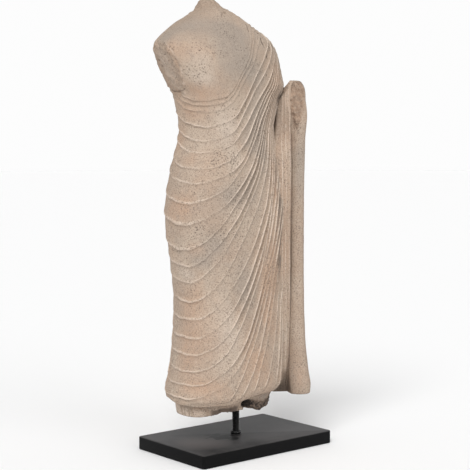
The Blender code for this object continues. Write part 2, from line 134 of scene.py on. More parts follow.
soft_sun("key", -55, 45, 2.1, 32)
soft_sun("front", 5, 28, 0.5, 40)
soft_sun("fill", 70, 20, 0.2, 50)
surround = bpy.data.worlds.new("surround")
bpy.context.scene.world = surround
surround.use_nodes = True
sky = surround.node_tree
direction = sky.nodes.new("ShaderNodeTexCoord")
split = sky.nodes.new("ShaderNodeSeparateXYZ")
fade = sky.nodes.new("ShaderNodeMapRange")
for name, value in (("From Min", math.sin(SKY_LOW)), ("From Max", math.sin(SKY_HIGH)),
                    ("To Min", GLOW_LOW), ("To Max", GLOW_HIGH)):
    fade.inputs[name].default_value = value
sky.links.new(direction.outputs["Generated"], split.inputs[0])
sky.links.new(split.outputs["Z"], fade.inputs["Value"])
sky.links.new(fade.outputs["Result"], sky.nodes["Background"].inputs["Strength"])
sky.nodes["Background"].inputs["Color"].default_value = (1.0, 1.0, 1.0, 1.0)
bpy.context.scene.view_settings.view_transform = "Standard"

# %% [markdown]
# Shader maths reads best as plain arithmetic. A small class wraps a socket, so that `1 - mask` or
# `grain * 0.2` adds the Math nodes it needs. Everything else goes through one method.

# %% A short way to write shaders
class Value:
    """One number that changes over a surface."""

    def __init__(self, finish, socket):
        self.finish = finish
        self.socket = socket

    def _math(self, operation, *values, clamp=False):
        made = self.finish.node("ShaderNodeMath", {"operation": operation, "use_clamp": clamp},
                                dict(enumerate(values)))
        return Value(self.finish, made.outputs[0])

    def __add__(self, other): return self._math("ADD", self, other)
    def __radd__(self, other): return self._math("ADD", other, self)
    def __sub__(self, other): return self._math("SUBTRACT", self, other)
    def __rsub__(self, other): return self._math("SUBTRACT", other, self)
    def __mul__(self, other): return self._math("MULTIPLY", self, other)
    def __rmul__(self, other): return self._math("MULTIPLY", other, self)

    def between(self, low, high):
        """0 at low, 1 at high, eased between."""
        made = self.finish.node("ShaderNodeMapRange", {"interpolation_type": "SMOOTHSTEP"},
                                {"Value": self, "From Min": low, "From Max": high})
        return Value(self.finish, made.outputs["Result"])

    def clear(self):
        """The same, kept between 0 and 1."""
        return self._math("ADD", self, 0.0, clamp=True)


class Finish:
    """A material, built up node by node."""

    def __init__(self, name):
        self.material = bpy.data.materials.new(name)
        self.material.use_nodes = True
        self.tree = self.material.node_tree
        self.shader = self.tree.nodes["Principled BSDF"]
        self.place = self.node("ShaderNodeTexCoord").outputs["Object"]

    def node(self, kind, settings=None, values=None):
        made = self.tree.nodes.new(kind)
        for key, setting in (settings or {}).items():
            setattr(made, key, setting)
        for key, value in (values or {}).items():
            self.put(made.inputs[key], value)
        return made

    def put(self, socket, value):
        if isinstance(value, Value):
            value = value.socket
        if isinstance(value, bpy.types.NodeSocket):
            self.tree.links.new(value, socket)
        elif isinstance(value, tuple) and len(value) == 3 and socket.type == "RGBA":
            socket.default_value = (*value, 1.0)
        else:
            socket.default_value = value

    def noise(self, scale, detail=2.0, rough=0.5, place=None, twist=0.0):
        made = self.node("ShaderNodeTexNoise", None,
                         {"Vector": place or self.place, "Scale": scale, "Detail": detail,
                          "Roughness": rough, "Distortion": twist})
        return Value(self, made.outputs["Fac"])

    def stretched(self, size):
        return self.node("ShaderNodeMapping", None, {"Vector": self.place, "Scale": size}).outputs["Vector"]

    def axes(self):
        made = self.node("ShaderNodeSeparateXYZ", None, {"Vector": self.place})
        return [Value(self, output) for output in made.outputs]

    def read(self, name):
        made = self.node("ShaderNodeAttribute", {"attribute_name": name})
        return Value(self, made.outputs["Fac"])

    def mix(self, share, one, other):
        made = self.node("ShaderNodeMix", {"data_type": "RGBA", "clamp_factor": True})
        self.put(made.inputs[0], share)
        self.put(made.inputs[6], one)
        self.put(made.inputs[7], other)
        return made.outputs[2]

    def paint(self, share, colour):
        """Lay a share of a colour over what is there."""
        self.colour = self.mix(share, self.colour, colour)

    def bump(self, height, distance, strength):
        values = {"Height": height, "Distance": distance, "Strength": strength}
        return self.node("ShaderNodeBump", None, values).outputs["Normal"]

    def finish(self, *pieces, **sockets):
        """Set the shader's sockets and give the pieces this material alone."""
        for name, value in sockets.items():
            self.put(self.shader.inputs[name.replace("_", " ")], value)
        for piece in pieces:
            piece.data.materials.clear()
            piece.data.materials.append(self.material)


paper = Finish("pale floor")
paper.finish(floor, Base_Color=(0.95, 0.95, 0.95), Roughness=0.9)
print("shader helpers ready")

# %% [markdown]
# ## The figure
#
# The body is one closed skin. Its rows follow the folds of the robe instead of running level, so a
# ridge is always an unbroken line of edges, however steeply it climbs to the left shoulder. First come
# the helpers for even curves and the outline of the plain body by height.

# %% Even curves
def smooth(x, xs, ys):
    """The even curve through the points xs, ys, level beyond its two ends."""
    xs = np.asarray(xs, float)
    ys = np.asarray(ys, float)
    x = np.clip(x, xs[0], xs[-1])
    span = np.diff(xs)
    rise = np.diff(ys) / span
    tilt = np.zeros(len(xs))
    tilt[0] = rise[0]
    tilt[-1] = rise[-1]
    for i in range(1, len(xs) - 1):
        if rise[i - 1] * rise[i] > 0:
            w1 = 2 * span[i] + span[i - 1]
            w2 = span[i] + 2 * span[i - 1]
            tilt[i] = (w1 + w2) / (w1 / rise[i - 1] + w2 / rise[i])
    i = np.clip(np.searchsorted(xs, x, side="right") - 1, 0, len(xs) - 2)
    t = (x - xs[i]) / span[i]
    return ((1 + 2 * t) * (1 - t) ** 2 * ys[i] + t * (1 - t) ** 2 * span[i] * tilt[i]
            + t * t * (3 - 2 * t) * ys[i + 1] + t * t * (t - 1) * span[i] * tilt[i + 1])


def ramp(x, low, high):
    """0 below low, 1 above high, eased between."""
    t = np.clip((x - low) / (high - low), 0, 1)
    return t * t * (3 - 2 * t)


def within(x, start, full, fall, end):
    """1 from full to fall, eased in before and out after."""
    return ramp(x, start, full) * (1 - ramp(x, fall, end))


def turn(angle):
    """The same angle between -180 and 180."""
    return (angle + 180) % 360 - 180


def uneven(points, size, shift=0.0):
    """A slow uneven swell between -1 and 1."""
    x, y, z = (points[..., i] / size + shift for i in range(3))
    return (np.sin(x + 2.1 * np.sin(0.8 * y + 0.3) + 0.7 * z)
            + np.sin(1.3 * y - 1.7 * np.sin(0.9 * z + 1.1) + 0.5 * x)
            + np.sin(1.1 * z + 1.9 * np.sin(0.7 * x + 2.0) - 0.6 * y)) / 3


def hump(x, middle, width):
    """1 at the middle, fading over the width."""
    return np.exp(-((x - middle) / width) ** 2)


def swell(angle, z, at, up, wide, tall):
    """A soft round rise, 1 at its middle."""
    return np.exp(-(turn(angle - at) / wide) ** 2 - ((z - up) / tall) ** 2)


print("halfway", ramp(0.5, 0, 1))

# %% [markdown]
# The plain body is a stack of levels. Each gives a height, a middle, and how far the body reaches to
# either side, to the front and to the back. Even curves run through the levels, so a few rows are
# enough for neck, shoulders, waist, hips and hem.

# %% The plain body
def metres(rows):
    """A table given in millimetres."""
    return np.round(np.array(rows) * 0.001, 7)


BODY_BLUNT = 2.3
# in millimetres: height, middle across and back, reach to the right, left, front and back
BODY = metres([
    (60, -24, 4, 90, 84, 60, 52),
    (75, -24, 4, 95, 93, 64, 56),
    (90, -24, 4, 98.5, 106, 67, 60),
    (120, -24, 4, 90, 116.5, 65, 57),
    (170, -24, 4, 82.2, 118, 63, 52),
    (230, -24, 4, 79.7, 116, 61, 50),
    (300, -24, 2, 89.5, 114, 61, 55),
    (370, -24, 0, 100.5, 110, 60, 61),
    (430, -25, 0, 91.5, 100, 57, 55),
    (500, -26, 2, 71.5, 92, 54, 46),
    (545, -28, 5, 77.5, 108, 55, 46),
    (570, -31, 8, 90.5, 125, 56, 48),
    (605, -34, 11, 108.5, 121.2, 55, 49),
    (621, -36, 12, 105, 118.5, 52, 47),
    (636, -37, 13, 91.5, 110.5, 47, 43),
    (648, -37, 15, 75.5, 93, 42, 38),
    (659, -37, 16, 60, 75.5, 37, 34),
    (668, -36, 17, 44, 57, 33, 30),
    (677, -36, 18, 28.5, 36, 29, 26),
    (682, -39, 18, 20.5, 23.5, 22, 20.5),
    (686.5, -41, 18, 16.8, 18, 18.2, 17.8),
    (691, -42, 18, 14.2, 14, 15.2, 15),
    (694.5, -42, 18, 11.2, 10.5, 12, 12),
    (696.5, -42, 18, 6, 5.5, 6.4, 6.4),
])
OWN_TOP = BODY[-1, 0]
SIDE_Z = np.linspace(BODY[0, 0], OWN_TOP, 1274)
SIDE_HALF = (smooth(SIDE_Z, BODY[:, 0], BODY[:, 3]) + smooth(SIDE_Z, BODY[:, 0], BODY[:, 4])) / 2
SIDE_WAY = np.concatenate([[0], np.cumsum(np.hypot(np.diff(SIDE_Z), 0.7 * np.diff(SIDE_HALF)))])


def blunt_circle(angle, power):
    """Across and forward parts of a circle with fuller corners."""
    s = np.sin(np.radians(angle))
    c = np.cos(np.radians(angle))
    r = (np.abs(s) ** power + np.abs(c) ** power) ** (-1 / power)
    return s * r, c * r


def ring(angle, z):
    """Points of the plain body at an angle and a height."""
    mid_x, mid_y, right, left, front, rear = (smooth(z, BODY[:, 0], BODY[:, k]) for k in range(1, 7))
    s, c = blunt_circle(angle, BODY_BLUNT)
    x = mid_x + (right + left) / 2 * s + (left - right) / 2 * s * s
    y = mid_y - (front + rear) / 2 * c + (rear - front) / 2 * c * c
    return np.stack([x, y, z + 0 * angle], axis=-1)


def way_at(z):
    return np.interp(z, SIDE_Z, SIDE_WAY)


def z_at(way):
    return np.interp(way, SIDE_WAY, SIDE_Z)


print("body levels", len(BODY))

# %% [markdown]
# Each fold hangs like a chain from the left shoulder: lowest on the figure's right, steep up the left
# front, and again up the back. Five heights and a strength describe one fold.

# %% The folds
# in millimetres: lowest, in front, at 30 and at 60 degrees, highest; then the strength
FOLDS = [
    (538, 575, 650, 661, 664, 0.9),
    (531, 570, 643, 657, 660, 0.7),
    (522, 560, 633, 653, 656, 0.9),
    (500, 536, 612, 648, 651, 1),
    (478, 521, 593, 642, 645, 0.8),
    (461, 501, 570, 632, 638, 0.9),
    (437, 479, 556, 640, 650, 0.9),
    (416, 460, 546, 632, 643, 0.8),
    (387, 453, 532, 624, 636, 1),
    (356, 429, 515, 616, 629, 1),
    (317, 418, 504, 608, 622, 1.1),
    (292, 398, 495, 600, 615, 0.8),
    (268, 383, 485, 592, 608, 0.8),
    (238, 350, 464, 584, 601, 0.9),
    (211, 303, 438, 576, 594, 0.9),
    (183, 269, 415, 567, 586, 1),
    (158, 245, 390, 557, 578, 1),
    (133, 223, 362, 546, 569, 1),
    (113, 185, 331, 534, 559, 1.1),
    (94, 166, 306, 521, 548, 0.6),
    (60, 146, 283, 507, 536, 0.7),
    (50, 113, 252, 490, 522, 0.7),
    (40, 85, 216, 470, 506, 0.8),
    (30, 60, 150, 440, 480, 0.7),
    (20, 40, 80, 400, 440, 0.8),
    (10, 30, 45, 300, 360, 0.7),
]
LOW_HEIGHTS = [0.02, 0.1, 0.2, 0.3, 0.44, 0.54]
LOW_ANGLES = [-58, -58, -63, -67, -53, -47]
SIDE_RISE_HEIGHTS = [0.13, 0.22, 0.3, 0.55]
SIDE_RISES = [0.006, 0.01, 0.021, 0.019]


def fold_curve(fold, angle):
    """Height of one fold's ridge all round."""
    low, front, at_30, at_60, high = metres(fold[:5])
    a = float(smooth(low, LOW_HEIGHTS, LOW_ANGLES))
    lift = high - low
    rise = float(np.interp(low, SIDE_RISE_HEIGHTS, SIDE_RISES))
    angles = [a - 60, a - 32, a, a + 30, 0, 30, 60, 90, 135, 180, 215, a + 300, a + 328, a + 360]
    heights = [low + rise, low + 0.3 * rise, low, low + 0.22 * (front - low), front, at_30, at_60,
               high, low + 0.8 * lift, low + 0.5 * lift, low + 0.22 * lift, low + rise,
               low + 0.3 * rise, low]
    return smooth(np.where(angle < a - 55, angle + 360, angle), angles, heights)


def eased(curve):
    """A closed curve made to flow by averaging each place with its neighbours."""
    for _ in range(3):
        curve = np.mean([np.roll(curve, j) for j in range(-5, 6)], axis=0)
    return curve


EVERY_DEGREE = np.arange(-180.0, 180.0)
FOLD_LINES = [eased(fold_curve(fold, EVERY_DEGREE)) for fold in FOLDS]
for k, line in enumerate(FOLD_LINES):
    line += (0.0006 * np.sin(np.radians(8 * EVERY_DEGREE + 97 * k))
             + 0.0004 * np.sin(np.radians(19 * EVERY_DEGREE + 41 * k)))


def fold_z(k, angle):
    line = FOLD_LINES[k]
    return np.interp(turn(angle), np.append(EVERY_DEGREE, 180.0), np.append(line, line[0]))


print("folds", len(FOLDS))

# %% [markdown]
# A fold's section changes with the room it has. Where the folds hang far apart, on the right, each is
# a thin lip with a sharp step below it. Where they crowd together on the left front, they are round
# cords with hollows of the same width between them.

# %% A fold's section
SHARES = (0.0, 0.045, 0.09, 0.14, 0.2, 0.28, 0.38, 0.51, 0.65, 0.78, 0.88, 0.95)
LIP = (1.0, 0.84, 0.2, -0.48, -0.66, -0.58, -0.42, -0.24, -0.1, 0.02, 0.22, 0.7)
CORD = (1.0, 0.96, 0.8, 0.46, -0.1, -0.68, -0.97, -1.0, -0.8, -0.2, 0.5, 0.9)
LIP_DEPTH = 0.0018
CORD_DEPTH = 0.0026
# room for a lip, for a round cord, and for full depth and colour
LIP_ROOM = 0.017
CORD_ROOM = 0.01
DEEP_ROOM = 0.008
PALE_ROOM = 0.006
BELOW_LAST = 0.03
# where round the figure all folds get weaker or stronger: angle, width, change
STRENGTHS = [(-32, 24, -0.38), (-88, 16, 0.15), (-128, 22, -0.4)]
WEAK_FOLDS = 3
WEAK = 0.62


def strength(k, angle, here, cord):
    """How strong a fold is round the figure: it comes and goes along its length."""
    vary = 0.86 + 0.26 * np.sin(np.radians(5.3 * angle + 131 * k)) * np.sin(np.radians(2.1 * angle + 60 * k))
    for at, wide, change in STRENGTHS:
        vary = vary * (1 + change * swell(angle, 0, at, 0, wide, 1))
    vary = WEAK * vary if k < WEAK_FOLDS else np.where(cord > 0.5, 0.5 + 0.5 * vary, vary)
    # the folds over the left shoulder are worn
    return vary * (1 - 0.5 * swell(angle, here, 74, 0.605, 26, 0.05))


print("section of", len(SHARES), "steps")

# %% [markdown]
# The robe ends in a hem that dips to the right, and the inner skirt below it in a broken, toothed
# foot. Both are given by their height at a few angles.

# %% Lower edges
HEM = np.array([(-180, 0.088), (-104, 0.0905), (-76, 0.0835), (-50, 0.0822), (-24, 0.082), (-4, 0.0888),
                (10, 0.0918), (34, 0.094), (48, 0.0985), (60, 0.108), (74, 0.115), (92, 0.112),
                (125, 0.096), (180, 0.088)])
FOOT = np.array([(-180, 0.066), (-102, 0.0635), (-60, 0.062), (-34, 0.0655), (-4, 0.069), (6, 0.0695),
                 (28, 0.0625), (44, 0.0635), (60, 0.068), (90, 0.067), (180, 0.066)])


def hem_z(angle):
    a = turn(angle)
    return smooth(a, *HEM.T) + 0.0006 * np.sin(np.radians(9 * a))


def foot_z(angle):
    a = turn(angle)
    teeth = 0.0009 * np.sin(np.radians(11 * a + 20)) + 0.0006 * np.sin(np.radians(23 * a))
    return smooth(a, *FOOT.T) + within(a, -55, -30, 60, 90) * teeth


print("hem", len(HEM), "foot", len(FOOT))

# %% [markdown]
# Both arms are lost. The right one broke off at the shoulder and left a worn slanting face; the left
# one broke off at the forearm. A break is a plane that everything beyond is pressed back onto, with
# its edge rounded and its face left rough, the way a weathered break looks.

# %% Breaks
# each a place on the break and the way it faces
SHOULDER_BREAK = ((-0.138, 0.01, 0.6207), (-0.896, 0.136, -0.423))
ARM_BREAK = ((0.0945, -0.05, 0.518), (-0.3, -0.88, 0.36))


def cut_flat(points, place, way, here, roughness, round_off):
    """Points beyond a break brought back onto it, then the broken face and its edge as shares."""
    way = np.array(way) / np.linalg.norm(way)
    out = ((points - np.array(place)) * way).sum(-1)
    rounded = np.clip(out + round_off, 0, None) ** 2 / (4 * round_off)
    beyond = np.where(out > round_off, out, rounded) * here
    flat = points - way * beyond[..., None]
    rough = roughness * ramp(beyond, 0.0002, 0.003) * (uneven(flat, 0.0032) + 0.6 * uneven(flat, 0.0013, 3.0))
    edge = hump(out, -0.001, 0.0026) * here
    return flat + way * rough[..., None], ramp(out, -0.0012, 0.0016) * here, edge


print("breaks placed")

# %% [markdown]
# The rows of the skin come next, from the neck down to the hem. Plain rows cover the breast, and
# twelve rows follow each fold: one for every step of its section.

# %% Rows along the folds
CHEST_ROWS = 76
BODY_ANGLES = np.concatenate([np.arange(-105, -10, 1.4), np.arange(-10, 75, 1.0), np.arange(75, 255, 4.0)])


def fold_rows(angle):
    """Heights, carving, ridge or groove, and cord or lip, each for all rows and angles."""
    level = 0 * angle
    rows = []
    first, top = way_at(fold_z(0, angle)), way_at(OWN_TOP)
    for t in 1 - np.arange(CHEST_ROWS) / CHEST_ROWS:
        step = ramp(t, 0.0, 0.02)
        rows.append((z_at(first + (top - first) * t), LIP_DEPTH * 0.5 * (1 - step) + level,
                     0.5 * (1 - step) + level, level))
    rim = hem_z(angle)
    for k, fold in enumerate(FOLDS):
        here = fold_z(k, angle)
        below = fold_z(k + 1, angle) if k + 1 < len(FOLDS) else here - BELOW_LAST
        upper, lower = way_at(np.maximum(here, rim)), way_at(np.maximum(below, rim))
        arc = np.linalg.norm(ring(angle + 0.5, here) - ring(angle - 0.5, here), axis=-1)
        slope = (fold_z(k, angle + 1) - fold_z(k, angle - 1)) / 2 / np.maximum(arc, 1e-4)
        room = (upper - lower) / np.sqrt(1 + slope ** 2)
        cord = 1 - ramp(room, CORD_ROOM, LIP_ROOM)
        vary = strength(k, angle, here, cord)
        depth = LIP_DEPTH * (1 - cord) + CORD_DEPTH * cord
        depth = depth * fold[5] * np.clip(room / DEEP_ROOM, 0, 1) * vary
        shown = np.clip(room / PALE_ROOM, 0.3, 1)
        strong = min(1, 0.25 + 0.75 * fold[5])
        for share, lip_lift, cord_lift in zip(SHARES, LIP, CORD):
            z = np.maximum(z_at(upper + (lower - upper) * share), rim)
            lift = lip_lift * (1 - cord) + cord_lift * cord
            fade = ramp(z - rim, 0.0005, 0.006)
            rows.append((z, lift * depth * fade, lift * fade * shown * np.clip(vary, 0, 1.1) * strong,
                         cord * fade))
    rows.append((rim, level, level, level))
    return np.array(rows).transpose(1, 0, 2)


print("rows", fold_rows(BODY_ANGLES).shape[1])

# %% [markdown]
# The finish needs to know more of each place than its shape. Seven marks are kept on the skin: ridge,
# narrow fold, broken face, scar and painted shade in one mark, and warm, cool or pitted patches. The
# tables place the patches and scars by angle and height, as they lie on the real figure.

# %% Patches and scars
MARK_NAMES = ("ridge", "narrow", "broken", "scar_and_shade", "warm", "cool", "pitted")
RIDGE, NARROW, BROKEN, SCAR_AND_SHADE, WARMTH, COOLNESS = range(6)
# angle, height, width and tallness of patches, in degrees and millimetres
WARM = [(-64, 614, 14, 18), (-38, 611, 16, 14), (-48, 556, 24, 16), (-74, 522, 14, 14), (-105, 480, 18, 30),
        (-67, 450, 16, 12), (-69, 376, 18, 20), (-51, 317, 14, 14), (-72, 240, 22, 40), (-76, 160, 25, 35),
        (-88, 374, 14, 22), (-52, 110, 24, 14), (21, 235, 8, 50), (35, 389, 7, 60), (47, 585, 8, 20),
        (8, 135, 16, 30), (30, 260, 12, 80), (150, 500, 30, 40), (190, 250, 30, 60)]
COOL = [(3, 620, 16, 30), (-12, 600, 16, 30), (1, 646, 20, 14), (15, 579, 12, 20), (19, 526, 12, 30),
        (6, 481, 14, 30), (22, 466, 8, 40), (-1, 420, 12, 30), (-17, 398, 14, 20), (-35, 324, 14, 20),
        (-52, 299, 14, 14), (-5, 250, 12, 40), (200, 560, 30, 40), (140, 330, 25, 60), (-45, 650, 34, 14),
        (-80, 632, 20, 14), (62, 615, 20, 40)]
PALE = [(-28, 600, 15, 20), (-40, 570, 16, 12), (-100, 600, 14, 30), (-88, 580, 14, 20), (-22, 500, 16, 30),
        (-8, 440, 12, 30), (-70, 280, 16, 12), (-20, 200, 16, 50)]
PITTED = [(-36, 612, 14, 14), (-52, 353, 10, 12), (-32, 338, 10, 10), (-25, 455, 14, 14)]
# old cracks and chips, and undercuts and a line down the crevice beside the fall whose dark is
# painted shade: places passed through, half width, depth, how dark
SCARS = [([(47, 0.648), (35, 0.631), (34, 0.612), (36, 0.582)], 0.0017, 0.0012, 1.0),
         ([(39, 0.66), (28, 0.647)], 0.0013, 0.0008, 0.8),
         ([(-116, 0.596), (-110, 0.58)], 0.0014, 0.001, 0.9),
         ([(-120, 0.5565), (-108, 0.5515), (-91, 0.5505), (-74, 0.5545)], 0.0015, 0.0018, 0.9),
         ([(8, 0.6735), (-1, 0.674), (-5, 0.666)], 0.0016, 0.0016, 0.5),
         ([(8, 0.6725), (25, 0.6675), (37, 0.66)], 0.0022, 0.0009, 0.15),
         ([(40, 0.598), (47, 0.594)], 0.0013, 0.001, 0.6),
         ([(50, 0.328), (48, 0.294), (46, 0.258)], 0.0017, 0.0016, 0.8),
         ([(49, 0.512), (49, 0.482), (41, 0.448)], 0.0013, 0.0016, 0.85)]


def patch(spots, angle, z):
    """How strongly any of these patches shows at a place."""
    return np.clip(sum(swell(angle, 1000 * z, *spot) for spot in spots), 0, 1)


def along_line(points, corners, half_width):
    """1 on a line through the corners, fading over its half width."""
    near = np.full(points.shape[:-1], 1.0)
    for a, b in zip(corners[:-1], corners[1:]):
        t = np.clip(((points - a) @ (b - a)) / ((b - a) @ (b - a)), 0, 1)
        near = np.minimum(near, np.linalg.norm(points - a - t[..., None] * (b - a), axis=-1))
    return hump(near, 0, half_width)


print("patches", len(WARM) + len(COOL) + len(PALE) + len(PITTED), "scars", len(SCARS))

# %% [markdown]
# Now the robe and the bare breast. The rows are moved out or in by the folds and by the body's soft
# forms. Along the left side long cords, which lie by how far across the view they are, take over from
# the folds. Then the shoulder breaks, and the scars are cut.

# %% Robe and breast
ACROSS = np.array(side)[:2]
TOWARD = np.array((back.x, back.y)) / math.hypot(back.x, back.y)
# breast, left breast under the robe, right thigh, belly: angle, height, width, tallness, how far out
FORMS = [(-38, 0.582, 26, 0.026, 0.0045), (8, 0.6, 22, 0.022, 0.002),
         (-62, 0.33, 26, 0.07, 0.0025), (8, 0.43, 34, 0.06, 0.002)]
HEM_TURN = 0.0024
HEM_TURN_HEIGHT = 0.011
# how far across the cords start at 0.5 m, and how fast they sweep inward below
LONG_CORDS = (0.0615, 0.067, 0.0725, 0.078, 0.0835)
CORD_START_Z = 0.5
CORD_SWEEP = 0.5


def cords_at(over, z, places, wander, waves, width):
    """1 on each of a few long cords that wander a little as they go down."""
    return sum(hump(over - wander * np.sin(z * waves[0] + at * waves[1]), at, width) for at in places)


def robe(angle):
    """The figure from neck to hem, and its marks."""
    z, out, ridge, narrow = fold_rows(angle)
    angles = np.broadcast_to(angle, z.shape)
    points = ring(angles, z)
    along = ring(angles + 0.25, z) - ring(angles - 0.25, z)
    upward = ring(angles, z + 0.0005) - ring(angles, z - 0.0005)
    normal = np.cross(along, upward)
    normal /= np.maximum(np.linalg.norm(normal, axis=-1, keepdims=True), 1e-12)
    for *place, height in FORMS:
        out = out + height * swell(angles, z, *place)
    out = out + 0.0003 * uneven(points, 0.009) * ramp(z, 0.09, 0.1)
    out = out - HEM_TURN * (1 - ramp(z - hem_z(angle), 0.0, HEM_TURN_HEIGHT)) ** 2

    over = points[..., :2] @ ACROSS + CORD_SWEEP * (CORD_START_Z - z) ** 2
    region = ramp(over, 0.057, 0.063) * ramp(normal[..., :2] @ TOWARD, -0.25, 0.05)
    region = region * ramp(z, 0.23, 0.32) * (1 - ramp(z, 0.47, 0.525))
    cords = cords_at(over, z, LONG_CORDS, 0.0007, (26, 700), 0.0017)
    out = out * (1 - 0.75 * region) + region * (0.0022 * cords - 0.0009)
    ridge = ridge * (1 - region) + region * (1.6 * cords - 0.8)
    narrow = np.maximum(narrow, region)

    neck = ramp(z, 0.664, 0.682)
    out = out + neck * (0.0012 * uneven(points, 0.0022) + 0.0006 * uneven(points, 0.0009, 4.0))
    points = points + normal * out[..., None]
    points, broken, edge = cut_flat(points, *SHOULDER_BREAK, ramp(z, 0.535, 0.55), 0.0019, 0.008)
    stain = broken * np.clip(0.3 + 1.1 * uneven(points, 0.0035), 0, 1)
    broken = np.maximum(0.3 * broken, 0.35 * ramp(z, 0.672, 0.69))
    edge = edge * ramp(turn(angles), -112, -82) * np.clip(0.75 + 0.7 * uneven(points, 0.0045), 0.1, 1)
    # one mark holds the scars' own dark and painted shade together
    scar_and_shade = 0 * z
    for corners, half_width, depth, dark in SCARS:
        spots = [np.argmin(turn(angles - a) ** 2 + ((z - h) / 0.001) ** 2) for a, h in corners]
        on = along_line(points, points.reshape(-1, 3)[spots], half_width)
        points = points - normal * (on * depth)[..., None]
        scar_and_shade = np.maximum(scar_and_shade, on * dark)
    # shade under the left arm and in the channels below it
    scar_and_shade = np.maximum(scar_and_shade, 0.85 * swell(angles, z, 57, 0.548, 7, 0.015))
    scar_and_shade = np.maximum(scar_and_shade, 0.72 * swell(angles, z, 44, 0.345, 13, 0.135) * np.clip(1 - ridge, 0, 1))
    warm = np.maximum(patch(WARM, angles, z), stain)
    cool = patch(COOL, angles, z) - 0.8 * patch(PALE, angles, z)
    marks = [np.maximum(ridge, 0.62 * edge), narrow, broken, scar_and_shade, warm, cool, patch(PITTED, angles, z)]
    return points, np.stack(marks, axis=-1)


robe_points, robe_marks = robe(BODY_ANGLES)
print("robe rows", len(robe_points), "angles", len(BODY_ANGLES))

# %% [markdown]
# Below the hem the skin turns under and runs down the inner skirt: plain and seamed on the right, and
# torn on the left front, with a hole under the hem and a flap of stone beside it. The underside is
# nearly flat, with a level place where the rod goes in. Painted shade darkens the hole, a line under
# the hem, the lower skirt on the right front and the underside.

# %% Inner skirt
SKIRT_MID = (-0.0215, 0.004)
SKIRT_HALF = (0.085, 0.0515)
SKIRT_BLUNT = 2.2
SKIRT_ROWS = 15
SKIRT_TUCK = 0.0025
TORN_TUCK = 0.004
SKIRT_TOP = 0.001
SOCKET_Z = 0.067
# the way from the hem to the skirt, in painted shade under the hem: share of the way, drop, ridge,
# broken, dark
UNDER_HEM = [(0.015, 0.0009, 0.15, 0.0, 0.0), (0.06, 0.002004, 0.0, 0.0, 0.0),
             (0.2, 0.00168, -0.5, 0.0, 0.35), (0.55, 0.00072, -1.0, 0.2, 0.8)]
UNDERSIDE_SHARES = (0.04, 0.12, 0.22, 0.34, 0.46, 0.58, 0.7, 0.86)
# angle, height, width, tallness
HOLE = (4.5, 0.0764, 6.0, 0.0044)
FLAP = (29, 0.0815, 10, 0.006)
RUST = (-54, 0.0735, 9, 0.006)
HOLE_DEPTH = 0.018
FLAP_OUT = 0.0012
# seams pressed into the skirt: angle and half width in degrees
SEAMS = [(-88, 1.6), (-81, 1.4), (-72, 1.4), (-67, 1.6), (-40, 1.8), (-31, 1.5), (-18, 1.8), (-9, 1.5)]
SEAM_DEPTH = 0.0009


def skirt_row(angle, tuck, z):
    """A loop of the inner skirt, tucked in by a length."""
    s, c = blunt_circle(angle, SKIRT_BLUNT)
    return np.stack([SKIRT_MID[0] + (SKIRT_HALF[0] - tuck) * s, SKIRT_MID[1] - (SKIRT_HALF[1] - tuck) * c,
                     z + 0 * angle], axis=-1)


def plain_marks(angle, row, ridge, broken, dark=0.0):
    """The marks of one row below the hem."""
    mark = np.zeros((len(angle), len(MARK_NAMES)))
    mark[:, RIDGE], mark[:, BROKEN], mark[:, SCAR_AND_SHADE] = ridge, broken, dark
    mark[:, WARMTH] = patch(WARM, angle, row[:, 2])
    return mark


def skirt_wall(angle, share):
    """One row of the skirt's wall, at a share of the way from the hem to the foot, and its marks."""
    top = hem_z(angle) + SKIRT_TOP
    z = top - (top - foot_z(angle)) * share
    torn = within(turn(angle), -4, 8, 70, 100)
    ragged = within(turn(angle), -52, -36, 70, 100)
    plain = 1 - ramp(turn(angle), -52, -42)
    row = skirt_row(angle, SKIRT_TUCK * share ** 2 + torn * TORN_TUCK * max(0, share - 0.45), z)
    hole = HOLE_DEPTH * swell(angle, z, *HOLE)
    flap = swell(angle, z, *FLAP)
    seams = sum(hump(turn(angle - a), 0, w) for a, w in SEAMS)
    chips = torn * ramp(share, 0.3, 0.6) * (0.0016 * uneven(row, 0.0019) + 0.0009 * uneven(row, 0.0009, 2.0))
    chips = chips + ragged * share ** 2 * 0.0009 * uneven(row, 0.0014, 6.0)
    outward = row[:, :2] - np.array(SKIRT_MID)
    outward /= np.linalg.norm(outward, axis=-1, keepdims=True)
    row[:, :2] += outward * (chips + FLAP_OUT * flap - hole - SEAM_DEPTH * seams)[:, None]
    row[:, 2] += ragged * share * 0.0012 * uneven(row, 0.0013, 5.0)

    # painted shade in a dark line just under the hem
    near_hem = (1 - share) ** 4
    ridge = -1.0 * near_hem + (0.5 * flap + 0.8 * plain * ramp(share, 0.2, 0.5)) * (1 - 0.8 * seams)
    broken = torn * ramp(share, 0.35, 0.6) * (1 - 0.7 * flap)
    # painted shade in the hole, under the hem and low on the right front; the seams near the hem and the torn
    # part are darkened too
    dark = (ramp(hole, 0.0012, 0.004) + 0.2 * seams * (1 - share)
            + torn * ramp(share, 0.4, 0.6) * (1 - flap) * (0.92 + 0.5 * uneven(row, 0.0012))
            + 0.9 * within(turn(angle), -46, -36, -12, -4) * ramp(share, 0.42, 0.7) + 0.8 * near_hem)
    mark = plain_marks(angle, row, ridge, broken, np.clip(dark, 0, 1))
    mark[:, WARMTH] = swell(angle, z, *RUST)
    mark[:, COOLNESS] = flap
    return row, mark


